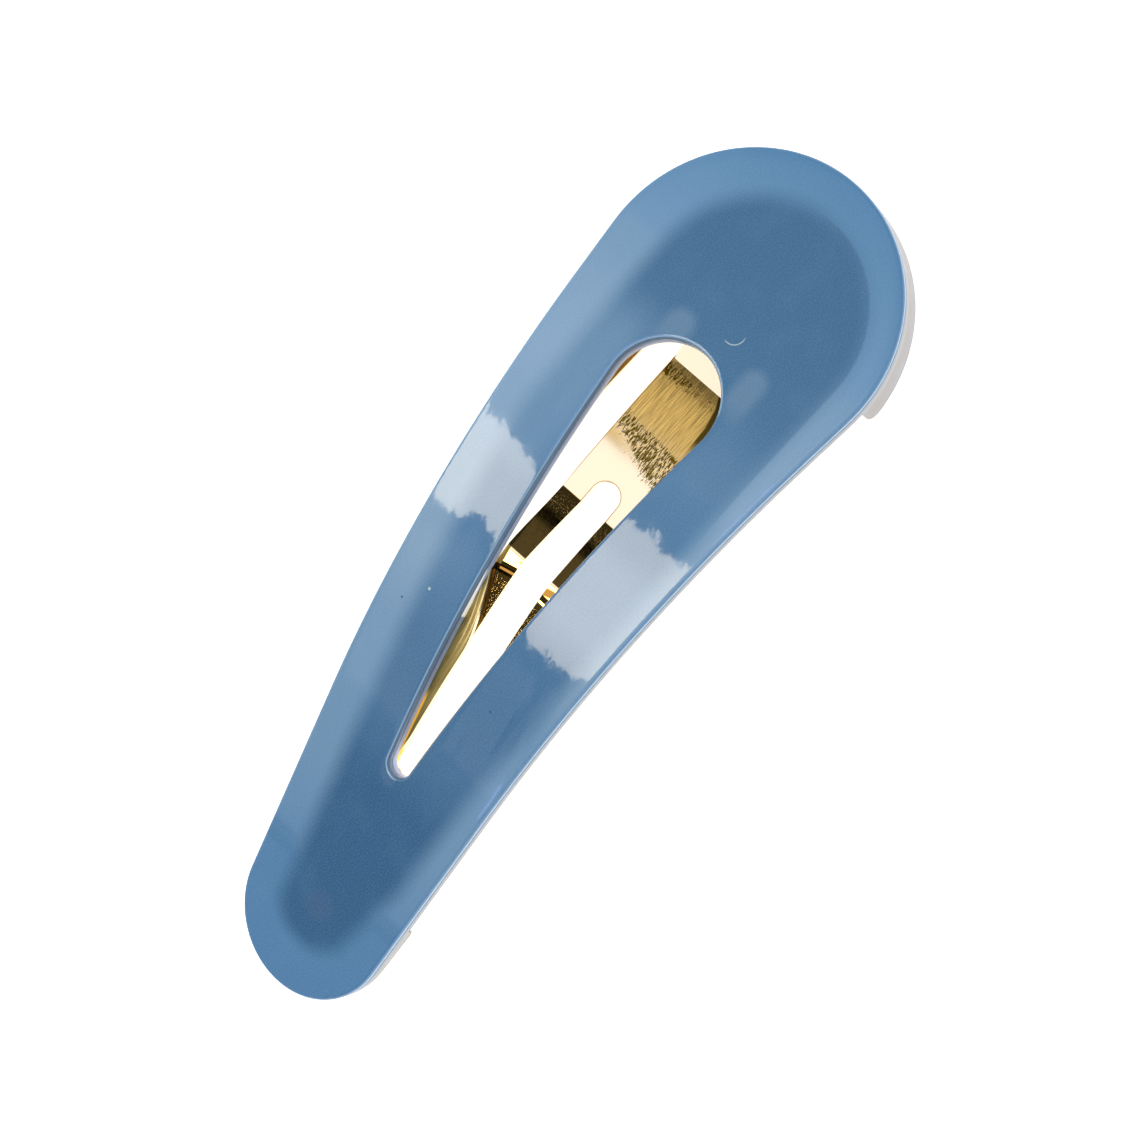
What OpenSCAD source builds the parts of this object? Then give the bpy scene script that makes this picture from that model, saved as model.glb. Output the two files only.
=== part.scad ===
// Arched snap hair clip: a blue face on a pale moulded backing with two feet, and under it
// a gilt spring-steel frame with a forked tongue that snaps shut against its legs.
// The clip lies on its feet, face up: +X to the wide end, +Z up, origin on the table.
// Places are worked out on the unbent sheet: u runs along the clip from the middle of its
// length, y across it, and depth is measured square to the face, down from it.

/* [Outline] */
// Length of the clip along its curve, tip to tip
clip_len = 72; // [66:0.5:80]
// Radius of the wide end
wide_r = 11.6; // [10.5:0.1:13]
// Radius of the narrow end
narrow_r = 6.2; // [5.5:0.1:7.5]

/* [Arch] */
// Radius of the arched middle, on the face
arch_r = 70; // [64:1:90]
// Length of the straight wide end
wide_flat = 17.4; // [16.5:0.1:19]
// Length of the straight narrow end
narrow_flat = 20.5; // [20:0.1:22]

/* [Window] */
// Radius of the window's wide end
window_wide_r = 4.3; // [3.9:0.1:4.8]
// Radius of the window's narrow end
window_narrow_r = 0.95; // [0.8:0.05:1.1]
// From the wide tip to the centre of the window's wide end
window_wide_in = 19.95; // [19:0.05:22]
// From the narrow tip to the centre of the window's narrow end
window_narrow_in = 19.7; // [18.7:0.05:21]

/* [Layers] */
// Thickness of the blue face
cover_t = 0.55; // [0.4:0.05:0.8]
// Thickness of the pale backing
backing_t = 0.65; // [0.5:0.05:1]
// Bond line between the face and the backing
bond = 0.03; // [0.02:0.01:0.06]

/* [Feet] */
// Depth of the wide foot's underside below the face
wide_foot_depth = 3.45; // [3.4:0.05:4.2]
// From the wide tip to the inner end of its foot
wide_foot_in = 11.7; // [11:0.1:13]
// Depth of the narrow foot's underside below the face, at its inner end
narrow_foot_depth = 2; // [1.9:0.05:2.4]
// Depth of the narrow foot's underside below the face, at the tip
narrow_tip_depth = 1.35; // [1.3:0.05:1.6]
// From the narrow tip to the inner end of its foot
narrow_foot_in = 9.6; // [9:0.1:10.5]
// Radius of the corner under the wide foot's inner end
foot_corner_r = 1; // [0.5:0.1:1.4]
// Depth of the small flat that each foot's tip stands on
rest_flat = 0.1; // [0.05:0.01:0.2]
// Step from the backing's edge in to the side of a foot
foot_step = 0.1; // [0.05:0.05:0.3]

/* [Frame] */
// Thickness of the sheet steel
steel_t = 0.35; // [0.25:0.05:0.4]
// Margin from the clip's edge to the frame at both ends
frame_margin = 3; // [2.8:0.1:3.4]
// Depth of the frame below the face along its narrow part
frame_narrow_depth = 1.4; // [1.35:0.05:1.5]
// Depth of the frame below the face at the wide end
frame_wide_depth = 2.75; // [2.7:0.05:2.9]
// From the narrow tip to where the frame bends away from the face
frame_turn_in = 34; // [30:0.5:37]
// Half width of the frame at its shoulder
shoulder_half = 8.3; // [8:0.1:8.6]
// From the wide tip to the shoulder
shoulder_in = 28; // [26:0.5:30]
// Half width of the opening beside the tongue
bay_half = 4.6; // [4.4:0.1:5]
// Half width of the slit between the legs at the narrow end
slit_half = 1.15; // [1:0.05:1.3]
// From the wide tip to the end of the opening
bay_end_in = 14.2; // [13.8:0.1:14.6]
// Corner radius of the opening
bay_corner_r = 1; // [0.5:0.1:1.4]
// From the wide tip to where the legs start to draw together
bay_neck_in = 30; // [28:0.5:31]
// From the narrow tip to where the legs have drawn together
slit_start_in = 29; // [28:0.5:30]

/* [Tongue] */
// Half width of the tongue
tongue_half = 3.05; // [2.8:0.05:3.4]
// Half width of the tongue where it leaves the frame
root_half = 2.5; // [2.3:0.05:2.7]
// From the wide tip to the crease below the root
root_crease_in = 17; // [16.6:0.1:17.4]
// Depth of the crease below the root
root_crease_depth = 4.2; // [4:0.05:4.4]
// From the wide tip to the crease at the start of the crimp
crimp_start_in = 29.7; // [29:0.1:30.5]
// Depth of the crease at the start of the crimp
crimp_start_depth = 3.35; // [3.1:0.05:3.4]
// From the wide tip to the crease at the end of the crimp
crimp_end_in = 34.8; // [34:0.1:36]
// From the narrow tip to the tip of the tongue
tongue_tip_in = 12; // [11:0.5:13.5]
// Half width of the tongue at its tip
tongue_tip_half = 2.3; // [2.1:0.05:2.7]
// Half width of the slot at its wide end
slot_wide_half = 1.18; // [1:0.02:1.3]
// Half width of the slot along the prongs
slot_half = 1.32; // [1.2:0.02:1.5]
// From the wide tip to the wide end of the slot
slot_wide_in = 26.9; // [26:0.1:27.6]
// From the narrow tip to the narrow end of the slot
slot_narrow_in = 16.4; // [15.6:0.1:17.5]

/* [Rivet] */
// Radius of the rivet's shank
rivet_r = 1; // [0.8:0.05:1.2]
// Radius of the rivet's head
rivet_head_r = 1.7; // [1.5:0.05:2]
// Height of the rivet's head
rivet_head_h = 0.35; // [0.25:0.05:0.5]
// From the narrow tip to the rivet
rivet_in = 6.4; // [6.2:0.1:6.8]

/* [Fits] */
// Gap between the frame's edge and the feet around it
seat_gap = 0.12; // [0.1:0.01:0.2]
// Gap between a face of the frame and what it lies against
face_gap = 0.06; // [0.04:0.01:0.1]
// Gap between the shut tongue and the legs above it
shut_gap = 0.1; // [0.08:0.01:0.15]
// Gap between the tongue's root and the frame
root_gap = 0.2; // [0.15:0.01:0.3]
// Gap around the rivet's shank
rivet_gap = 0.03; // [0.02:0.01:0.05]

/* [Hidden] */
$fn = 96;

half_len = clip_len / 2;
reach = clip_len;                                // longer and wider than any piece
backing_top = cover_t + bond;
backing_bottom = backing_top + backing_t;
wide_u = half_len - wide_r;                      // centres of the round ends
narrow_u = narrow_r - half_len;
bend_wide_u = half_len - wide_flat;              // where the arch becomes straight
bend_narrow_u = narrow_flat - half_len;
wide_angle = bend_wide_u / arch_r * 180 / PI;
narrow_angle = bend_narrow_u / arch_r * 180 / PI;
window_wide_u = half_len - window_wide_in;
window_narrow_u = window_narrow_in - half_len;
frame_turn_u = frame_turn_in - half_len;
crimp_end_u = half_len - crimp_end_in;
arch_centre = [0, -arch_r];
seam = 0.04;                                     // straight sides start just inside the round ends
bend_seam = 0.01;                                // and straight runs just inside the arch
tongue_u = half_len - bay_end_in - root_gap;     // root end of the tongue

// Point [x, z] of the side view at a place along the clip and a depth below its face.
function side(u, depth = 0) =
    let (on_arch = min(max(u, bend_narrow_u), bend_wide_u), a = on_arch / arch_r * 180 / PI)
    [(arch_r - depth) * sin(a) + (u - on_arch) * cos(a),
     (arch_r - depth) * cos(a) - arch_r - (u - on_arch) * sin(a)];

// Depth of the frame's upper side below the face: even at first, then growing to the wide end.
function frame_depth(u) =
    let (s = min(max((u - frame_turn_u) / (bend_wide_u - frame_turn_u), 0), 1))
    frame_narrow_depth + (frame_wide_depth - frame_narrow_depth) * s * s;

// Side view of a line along the frame between two places, at a distance below its upper side.
function frame_line(u_wide, u_narrow, below = 0, steps = 30) =
    [for (i = [0 : steps]) let (u = u_wide + (u_narrow - u_wide) * i / steps)
        side(u, frame_depth(u) + below)];

// The clip stands on the wide foot's tip and on the narrow foot's tip.
wide_rest = side(half_len, wide_foot_depth);
narrow_rest = side(-half_len, narrow_tip_depth);
rest_turn = atan((wide_rest.y - narrow_rest.y) / (wide_rest.x - narrow_rest.x));

function turned(p) = [p.x * cos(rest_turn) + p.y * sin(rest_turn),
                      p.y * cos(rest_turn) - p.x * sin(rest_turn)];

rest_middle = (turned(side(half_len)).x + turned(side(-half_len)).x) / 2;
rest_height = turned(wide_rest).y + rest_flat;

module at_rest() {
    translate([-rest_middle, 0, -rest_height]) rotate([0, rest_turn, 0]) children();
}

// Children are drawn in the side view and run right across the clip.
module side_view() {
    translate([0, reach / 2, 0]) rotate([90, 0, 0]) linear_extrude(reach) children();
}

// Children are drawn from above and stand upright through the clip.
module upright() {
    translate([0, 0, -reach / 2]) linear_extrude(reach) children();
}

// Children are placed about a bend's centre, turned so that +Z is square to the sheet at an angle.
module about(centre, a) {
    translate([centre.x, 0, centre.y]) rotate([0, a, 0]) children();
}

// Everything below a depth of the face: an arc with a straight run off each end.
module below_face(depth, run) {
    wide_end = side(bend_wide_u, depth + bend_seam);
    narrow_end = side(bend_narrow_u, depth + bend_seam);
    wide_tip = wide_end + run * [cos(wide_angle), -sin(wide_angle)];
    narrow_tip = narrow_end - run * [cos(narrow_angle), -sin(narrow_angle)];
    union() {
        side_view() translate(arch_centre) circle(r = arch_r - depth, $fn = 360);
        side_view() polygon([narrow_end, wide_end, wide_tip, [wide_tip.x, -4 * run],
                             [narrow_tip.x, -4 * run], narrow_tip]);
    }
}

// One layer of the plastic, wider and longer than any piece.
module layer_sheet(depth, t) {
    difference() {
        below_face(depth, reach);
        below_face(depth + t, 2 * reach);
    }
}

// Sheet of steel right across the clip, with its upper side along a line of the side view.
module steel_sheet(line) {
    side_view() polygon(concat(line, [for (i = [len(line) - 1 : -1 : 0]) line[i] - [0, steel_t]]));
}

// Round end standing square to the sheet at a place along it.
module round_end(u, r) {
    on_arch = min(max(u, bend_narrow_u), bend_wide_u);
    about(arch_centre, on_arch / arch_r * 180 / PI)
        translate([u - on_arch, 0, arch_r - reach / 4]) cylinder(r = r, h = reach / 2);
}

// Straight sides between two round ends, standing upright.
module straight_sides(u_wide, r_wide, u_narrow, r_narrow) {
    lean = asin((r_wide - r_narrow) / (u_wide - u_narrow));
    x_wide = side(u_wide - r_wide * sin(lean)).x;
    x_narrow = side(u_narrow - r_narrow * sin(lean)).x;
    y_wide = r_wide * cos(lean) - seam;
    y_narrow = r_narrow * cos(lean) - seam;
    upright() polygon([[x_wide, -y_wide], [x_wide, y_wide], [x_narrow, y_narrow],
                       [x_narrow, -y_narrow]]);
}

// Drop shape of the face and of the window: two round ends and straight sides.
module drop(u_wide, r_wide, u_narrow, r_narrow) {
    union() {
        round_end(u_wide, r_wide);
        round_end(u_narrow, r_narrow);
        straight_sides(u_wide, r_wide, u_narrow, r_narrow);
    }
}

module window() {
    drop(window_wide_u, window_wide_r, window_narrow_u, window_narrow_r);
}

module plate(depth, t) {
    difference() {
        intersection() {
            layer_sheet(depth, t);
            drop(wide_u, wide_r, narrow_u, narrow_r);
        }
        window();
    }
}

// Arc of a flat outline, from one angle to another, as [x, y] points.
function arc(cx, cy, r, a0, a1, steps) =
    [for (i = [0 : steps]) let (a = a0 + (a1 - a0) * i / steps) [cx + r * cos(a), cy + r * sin(a)]];

function mirrored(points) = [for (i = [len(points) - 1 : -1 : 0]) [points[i].x, -points[i].y]];

// Smooth step between two half widths over a stretch of the clip.
function eased(u, u0, u1, w0, w1) =
    let (s = min(max((u - u0) / (u1 - u0), 0), 1)) w0 + (w1 - w0) * s * s * (3 - 2 * s);

// Outer edge of the frame: round ends with a shoulder between, grown by a margin for its seat.
function frame_edge(grow = 0) =
    let (rw = wide_r - frame_margin + grow, rn = narrow_r - frame_margin + grow,
         steps = 12, us = half_len - shoulder_in,
         lean_w = atan((rw - shoulder_half - grow) / (wide_u - us)),
         lean_n = atan((shoulder_half + grow - rn) / (us - narrow_u)))
    concat(arc(side(wide_u).x, 0, rw, 0, 90 + lean_w, steps),
           [[side(us).x, shoulder_half + grow]],
           arc(side(narrow_u).x, 0, rn, 90 + lean_n, 180, steps));

module frame_outline(grow = 0) {
    edge = frame_edge(grow);
    polygon(concat(edge, mirrored(edge)));
}

// Opening between the legs: a square bay round the tongue's root, necking down to a slit.
function bay_edge() =
    let (end_x = side(half_len - bay_end_in).x, corner = bay_corner_r, steps = 10,
         u0 = slit_start_in - half_len, u1 = half_len - bay_neck_in)
    concat(arc(end_x - corner, bay_half - corner, corner, 0, 90, 5),
           [for (i = [steps : -1 : 0]) let (u = u0 + (u1 - u0) * i / steps)
               [side(u).x, eased(u, u0, u1, slit_half, bay_half)]],
           arc(side(window_narrow_u).x, 0, slit_half, 90, 180, 8));

module bay_outline() {
    edge = bay_edge();
    polygon(concat(edge, mirrored(edge)));
}

// Foot under a round end: a side view [along, up] from the bend line, cut just inside the
// drop shape, with the frame's seat let into it.
module foot(a, profile, seat_depth) {
    difference() {
        intersection() {
            drop(wide_u, wide_r - foot_step, narrow_u, narrow_r - foot_step);
            about(arch_centre, a) translate([0, 0, arch_r]) side_view() polygon(profile);
        }
        intersection() {
            about(arch_centre, a) translate([-reach / 2, -reach / 2, arch_r - reach - seat_depth])
                cube(reach);
            upright() frame_outline(seat_gap);
        }
    }
}

// Side view of a foot: its inner end with a rounded corner, and a straight underside.
function foot_profile(inner, run, depth, tip_depth, corner, way) =
    let (top = backing_t / 2 - backing_bottom)
    concat([[inner, top]],
           [for (p = arc(0, 0, corner, 0, -90, 6)) [inner - way * (corner - p.x), corner + p.y - depth]],
           [[run, -tip_depth], [run, top]]);

module wide_foot() {
    foot(wide_angle, foot_profile(half_len - wide_foot_in - bend_wide_u, wide_flat, wide_foot_depth,
                                  wide_foot_depth, foot_corner_r, -1),
         frame_wide_depth - face_gap);
}

module narrow_foot() {
    foot(narrow_angle, foot_profile(narrow_foot_in - half_len - bend_narrow_u, -narrow_flat,
                                    narrow_foot_depth, narrow_tip_depth, foot_corner_r / 2, 1),
         frame_narrow_depth - face_gap);
}

module rivet_axis() {
    about(arch_centre, narrow_angle)
        translate([-half_len + rivet_in - bend_narrow_u, 0, arch_r - frame_narrow_depth]) children();
}

module cover() {
    color("steelblue") at_rest() plate(0, cover_t);
}

module backing() {
    color("gainsboro") difference() {
        at_rest() union() {
            plate(backing_top, backing_t);
            wide_foot();
            narrow_foot();
        }
        translate([-reach, -reach, -reach]) cube([2 * reach, 2 * reach, reach]);
    }
}

module frame() {
    color("gold") at_rest() difference() {
        intersection() {
            steel_sheet(concat([side(half_len, frame_wide_depth)], frame_line(bend_wide_u, bend_narrow_u),
                               [side(-half_len, frame_narrow_depth)]));
            upright() frame_outline();
        }
        upright() bay_outline();
        rivet_axis() translate([0, 0, -reach / 4]) cylinder(r = rivet_r + rivet_gap, h = reach / 2);
    }
}

// Side view of the tongue's upper side, from the root over the creases and along the legs.
function tongue_line() =
    let (under = steel_t + shut_gap)
    concat([side(tongue_u, frame_wide_depth),
            side(half_len - root_crease_in, root_crease_depth),
            side(half_len - crimp_start_in, crimp_start_depth)],
           frame_line(crimp_end_u, bend_narrow_u, under),
           [side(-half_len, frame_narrow_depth + under)]);

function tongue_edge() =
    let (root_x = side(tongue_u).x, crease_x = side(half_len - root_crease_in).x,
         neck_x = side(crimp_end_u).x, tip_x = side(tongue_tip_in - half_len).x)
    concat([[root_x + steel_t, root_half], [root_x - root_gap, root_half], [crease_x, tongue_half],
            [neck_x, tongue_half]],
           arc(tip_x + tongue_tip_half, 0, tongue_tip_half, 90, 180, 8));

module tongue_outline() {
    edge = tongue_edge();
    polygon(concat(edge, mirrored(edge)));
}

function slot_edge() =
    let (wide_x = side(half_len - slot_wide_in).x - slot_wide_half,
         narrow_x = side(slot_narrow_in - half_len).x + slot_half)
    concat(arc(wide_x, 0, slot_wide_half, 0, 90, 8), [[side(crimp_end_u).x, slot_half]],
           arc(narrow_x, 0, slot_half, 90, 180, 8));

module slot_outline() {
    edge = slot_edge();
    polygon(concat(edge, mirrored(edge)));
}

module tongue() {
    color("goldenrod") at_rest() difference() {
        intersection() {
            steel_sheet(tongue_line());
            upright() tongue_outline();
        }
        upright() slot_outline();
    }
}

// Rivet through the frame, with a flat head under the backing and a round one below.
module rivet() {
    color("darkgoldenrod") at_rest() rivet_axis() union() {
        translate([0, 0, -steel_t - face_gap / 2]) cylinder(r = rivet_r, h = steel_t + face_gap);
        translate([0, 0, -steel_t - face_gap / 2 - rivet_head_h])
            cylinder(r = rivet_head_r, h = rivet_head_h);
    }
}

cover();
backing();
frame();
tongue();
rivet();
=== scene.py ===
"""Looks of an arched snap hair clip: a blue face, a pale backing with two feet, and a gilt
spring-steel frame with a forked tongue.

Every piece is drawn flat, as on the unbent clip, in millimetres: x runs along the clip to its
wide end, y across it, and z up with the face at 0. One node tree then arches the piece, stands
it on the table and keeps its flat place in the attribute "sheet" for the finishes.
"""

import math

import bmesh
import bpy
from mathutils import Matrix, Vector


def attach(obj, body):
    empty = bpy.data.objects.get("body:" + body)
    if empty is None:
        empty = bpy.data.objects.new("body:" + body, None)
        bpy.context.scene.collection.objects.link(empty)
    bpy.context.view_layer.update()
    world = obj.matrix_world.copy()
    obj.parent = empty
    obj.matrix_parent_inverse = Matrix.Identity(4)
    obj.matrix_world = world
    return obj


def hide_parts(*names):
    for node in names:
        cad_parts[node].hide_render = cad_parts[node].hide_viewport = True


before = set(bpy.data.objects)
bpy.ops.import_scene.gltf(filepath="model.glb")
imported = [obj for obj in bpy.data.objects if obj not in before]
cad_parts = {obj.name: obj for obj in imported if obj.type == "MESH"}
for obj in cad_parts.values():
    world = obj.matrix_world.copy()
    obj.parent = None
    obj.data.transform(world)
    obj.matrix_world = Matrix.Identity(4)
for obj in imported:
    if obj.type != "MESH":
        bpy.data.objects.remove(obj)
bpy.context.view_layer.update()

MM = 0.001

# Outline and arch
HALF_LEN = 36.0
WIDE_R = 11.6
NARROW_R = 6.2
WIDE_U = HALF_LEN - WIDE_R
NARROW_U = NARROW_R - HALF_LEN
ARCH_R = 70.0
BEND_WIDE = HALF_LEN - 17.4
BEND_NARROW = 20.5 - HALF_LEN
OUTLINE = (WIDE_U, WIDE_R, NARROW_U, NARROW_R)
WINDOW = (HALF_LEN - 19.95, 4.3, 19.7 - HALF_LEN, 0.95)
LEAN = math.asin((WIDE_R - NARROW_R) / (WIDE_U - NARROW_U))

# Layers and feet, as depths below the face
COVER_T = 0.55
BACKING_TOP = COVER_T + 0.03
BACKING_BOTTOM = BACKING_TOP + 0.65
WIDE_FOOT_DEPTH = 3.45
WIDE_FOOT_END = HALF_LEN - 11.7
NARROW_FOOT_DEPTH = 2.0
NARROW_TIP_DEPTH = 1.35
NARROW_FOOT_END = 9.6 - HALF_LEN
FOOT_CORNER_R = 1.0
FOOT_RIM_R = 0.25
FOOT_TOP = BACKING_TOP + 0.3
FOOT_STEP = 0.02
SEAT_STEP = 0.12
SEAT_SPARE = 0.3
FLOOR_GAP = 0.06
REST_FLAT = 0.1

# Steel
STEEL_T = 0.35
FRAME_NARROW_DEPTH = 1.4
FRAME_WIDE_DEPTH = 2.75
FRAME_TURN = 34 - HALF_LEN
FRAME_WIDE_R = WIDE_R - 3
FRAME_NARROW_R = NARROW_R - 3
SEAT_GAP = 0.12
SHOULDER = (8.0, 8.3)
BAY_HALF = 4.6
SLIT_HALF = 1.15
STEEL_SWAY = -0.18
SWAY_FADE = (17, 25)
STAMPED_R = 0.04
STAMPED_ANGLE = math.radians(50)
BAY_END = HALF_LEN - 14.2
BAY_CORNER_R = 1.0
BAY_NARROWS = (29 - HALF_LEN, HALF_LEN - 30)
TONGUE_ROOT = BAY_END - 0.2
TONGUE_TIP = 12 - HALF_LEN
ROOT_HALF = 2.5
BLADE_HALF = 3.05
PRONG_HALF = 2.3
FORK_U = 1.4
TIP_START = TONGUE_TIP + PRONG_HALF
RIVET_U = 6.4 - HALF_LEN
RIVET_SIDES = 40
SLOT_WIDE = (7.92, 1.18)
SLOT_NARROW = (16.4 - HALF_LEN + 1.32, 1.32)

STATIONS_WIDE = 80
STATIONS_SIDE = 110
STATIONS_NARROW = 44
SHARP_STEEL = math.radians(20)
SHARP_PLASTIC = math.radians(38)


def lerp(a, b, t):
    return a + (b - a) * t


def eased(x, x0, x1, y0, y1):
    t = min(max((x - x0) / (x1 - x0), 0), 1)
    return y0 + (y1 - y0) * t * t * (3 - 2 * t)


def span(a, b, steps):
    """Evenly spaced numbers from a to b, both included."""
    return [lerp(a, b, i / steps) for i in range(steps + 1)]


# How the clip is arched and stands


def side(u, depth=0.0):
    """Point in the side view of the arched clip at a place along it and a depth below its face."""
    on_arch = min(max(u, BEND_NARROW), BEND_WIDE)
    a = on_arch / ARCH_R
    x = (ARCH_R - depth) * math.sin(a) + (u - on_arch) * math.cos(a)
    z = (ARCH_R - depth) * math.cos(a) - ARCH_R - (u - on_arch) * math.sin(a)
    return x, z


def turned(point, turn):
    x, z = point
    return x * math.cos(turn) + z * math.sin(turn), z * math.cos(turn) - x * math.sin(turn)


WIDE_REST = side(HALF_LEN, WIDE_FOOT_DEPTH)
NARROW_REST = side(-HALF_LEN, NARROW_TIP_DEPTH)
REST_TURN = math.atan2(WIDE_REST[1] - NARROW_REST[1], WIDE_REST[0] - NARROW_REST[0])
REST_MIDDLE = (turned(side(HALF_LEN), REST_TURN)[0] + turned(side(-HALF_LEN), REST_TURN)[0]) / 2
REST_HEIGHT = turned(WIDE_REST, REST_TURN)[1] + REST_FLAT


# Node trees


class Sock:
    """An output of a node that takes part in Python sums."""

    def __init__(self, tree, out):
        self.tree = tree
        self.out = out

    def math(self, operation, *values):
        return self.tree.node("ShaderNodeMath", {"operation": operation}, dict(enumerate(values)))

    def __add__(self, other):
        return self.math("ADD", self, other)

    def __radd__(self, other):
        return self.math("ADD", other, self)

    def __sub__(self, other):
        return self.math("SUBTRACT", self, other)

    def __rsub__(self, other):
        return self.math("SUBTRACT", other, self)

    def __mul__(self, other):
        return self.math("MULTIPLY", self, other)

    def __truediv__(self, other):
        return self.math("DIVIDE", self, other)

    def __neg__(self):
        return self.math("MULTIPLY", self, -1)

    def __abs__(self):
        return self.math("ABSOLUTE", self)

    def above(self, other):
        return self.math("MAXIMUM", self, other)

    def below(self, other):
        return self.math("MINIMUM", self, other)

    def sin(self):
        return self.math("SINE", self)

    def cos(self):
        return self.math("COSINE", self)

    def root(self):
        return self.math("SQRT", self)

    def step(self, start, end):
        """0 before start and 1 after end, with a smooth rise between; also downwards."""
        if isinstance(start, Sock):
            low, high, flip = start, end, False
        else:
            low, high, flip = (start, end, False) if start < end else (end, start, True)
        values = {"Value": self, "From Min": low, "From Max": high}
        rise = self.tree.node("ShaderNodeMapRange", {"interpolation_type": "SMOOTHSTEP"}, values)
        return 1 - rise if flip else rise


class Tree:
    """A node tree with short ways to add its nodes."""

    def __init__(self, nodes):
        self.nodes = nodes

    def add(self, kind, settings=(), values=()):
        node = self.nodes.nodes.new(kind)
        for name, value in dict(settings).items():
            setattr(node, name, value)
        for name, value in dict(values).items():
            socket = self.input(node, name)
            if isinstance(value, Sock):
                self.nodes.links.new(value.out, socket)
            else:
                socket.default_value = value
        return node

    @staticmethod
    def input(node, name):
        if isinstance(name, int):
            return node.inputs[name]
        by_name = [s for s in node.inputs if name in (s.identifier, s.name) and s.enabled]
        return by_name[0]

    def node(self, kind, settings=(), values=(), out=0):
        """Adds a node and gives one of its outputs."""
        node = self.add(kind, settings, values)
        return Sock(self, node.outputs[out])

    def split(self, vector):
        parts = self.add("ShaderNodeSeparateXYZ", {}, {0: vector})
        return [Sock(self, out) for out in parts.outputs]

    def join(self, x, y, z):
        return self.node("ShaderNodeCombineXYZ", {}, {0: x, 1: y, 2: z})


LIT = (0.80, 0.765, 0.69)


def rgb(red, green, blue):
    """Linear colour of an 8 bit one."""
    parts = [c / 255 for c in (red, green, blue)]
    return [c / 12.92 if c <= 0.04045 else ((c + 0.055) / 1.055) ** 2.4 for c in parts]


def paint(red, green, blue):
    """Colour of a surface that is seen as this 8 bit one under the studio lights."""
    return [min(c / light, 0.95) for c, light in zip(rgb(red, green, blue), LIT)]


class Finish(Tree):
    """A material, with its Principled node left for the end."""

    def __init__(self, name):
        self.material = bpy.data.materials.new(name)
        self.material.use_nodes = True
        super().__init__(self.material.node_tree)
        self.nodes.nodes.clear()

    def attribute(self, name):
        values = self.add("ShaderNodeAttribute", {"attribute_name": name}).outputs["Vector"]
        return self.split(Sock(self, values))

    def direction(self):
        """Which way the surface faces, along the clip, across it and up."""
        return self.split(self.node("ShaderNodeNewGeometry", out="Normal"))

    def noise(self, place, detail, roughness=0.5):
        values = {"Vector": place, "Scale": 1.0, "Detail": detail, "Roughness": roughness}
        return self.node("ShaderNodeTexNoise", {}, values)

    def mix(self, a, b, factor):
        node = self.add("ShaderNodeMix", {"data_type": "RGBA"})
        for name, value in (("Factor_Float", factor), ("A_Color", a), ("B_Color", b)):
            socket = [s for s in node.inputs if s.identifier == name][0]
            if isinstance(value, Sock):
                self.nodes.links.new(value.out, socket)
            elif name == "Factor_Float":
                socket.default_value = value
            else:
                socket.default_value = (*value[:3], 1)
        return Sock(self, [s for s in node.outputs if s.identifier == "Result_Color"][0])

    def lay(self, colour, seen, share):
        """Lays a tone, given as the 8 bit colour that is seen, over a colour."""
        return self.mix(colour, paint(*seen), share)

    def tones(self, x, stops):
        """Colour along x, given as (place, colour) pairs."""
        low, high = stops[0][0], stops[-1][0]
        ramp = self.add("ShaderNodeValToRGB", {}, {0: (x - low) / (high - low)})
        ramp.color_ramp.interpolation = "LINEAR"
        elements = ramp.color_ramp.elements
        while len(elements) < len(stops):
            elements.new(0.5)
        for element, (place, colour) in zip(elements, stops):
            element.position = (place - low) / (high - low)
            element.color = (*colour[:3], 1)
        return Sock(self, ramp.outputs[0])

    def painted(self, x, *stops):
        """Colour along x, given as rows of a place and the 8 bit colour that is seen there."""
        return self.tones(x, [(place, paint(*seen)) for place, *seen in stops])

    def along(self, x, *points):
        """Number along x, given as (place, number) pairs."""
        numbers = [y for _, y in points]
        low, high = min(numbers), max(numbers)
        stops = [(place, [(y - low) / (high - low)] * 3) for place, y in points]
        return self.tones(x, stops) * (high - low) + low

    def bump(self, height):
        """Normal for a height in millimetres."""
        return self.node("ShaderNodeBump", {}, {"Strength": 1.0, "Distance": MM, "Height": height})

    def done(self, **values):
        named = {name.replace("_", " "): value for name, value in values.items()}
        surface = self.node("ShaderNodeBsdfPrincipled", {}, named)
        self.add("ShaderNodeOutputMaterial", {}, {"Surface": surface})
        return self.material


def distance(*parts):
    """Length of a way, from its parts along each direction."""
    squares = [part * part for part in parts]
    return sum(squares[1:], squares[0]).root()


def band(x, start, end, soft):
    """1 between two places and 0 outside them, with soft ends."""
    return x.step(start, start + soft) * x.step(end, end - soft)


def speck(u, v, at, radius):
    """Round spot, full in its middle."""
    return distance(u - at[0], v - at[1]).step(radius, radius * 0.5)


def arc_mark(u, v, at, radius, width):
    """Thin curved scratch, open to the wide end and the far side."""
    along, across = u - at[0], v - at[1]
    ring = abs(distance(along, across) - radius).step(width, 0.0)
    return ring * (along * -0.72 - across * 0.69).step(radius * 0.35, radius * 0.8)


# Finish of the face


def steel_shade_tone(finish, u):
    """Painted shade of the face over the steel, which shows dark as it blocks the light from
    below.
    """
    return finish.painted(u, (-34, 64, 101, 138), (-28, 62, 100, 135), (-19, 62, 100, 136),
                          (-14, 80, 117, 152), (-8, 76, 115, 151), (0, 84, 124, 161),
                          (12, 86, 126, 162), (18, 80, 121, 157), (25, 72, 113, 149),
                          (33, 70, 112, 148))


def rim_light_tone(finish, u):
    """Painted light of the face beyond the steel, lit from below through the pale backing, dimmer
    over the feet.
    """
    return finish.painted(u, (-36, 92, 132, 172), (-27.4, 94, 134, 172), (-26.4, 106, 142, 176),
                          (-20, 120, 151, 181), (-8, 124, 155, 185), (-3, 139, 165, 190),
                          (14, 149, 175, 202), (23.8, 131, 163, 193), (25, 122, 158, 192),
                          (36, 94, 139, 179))


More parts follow.
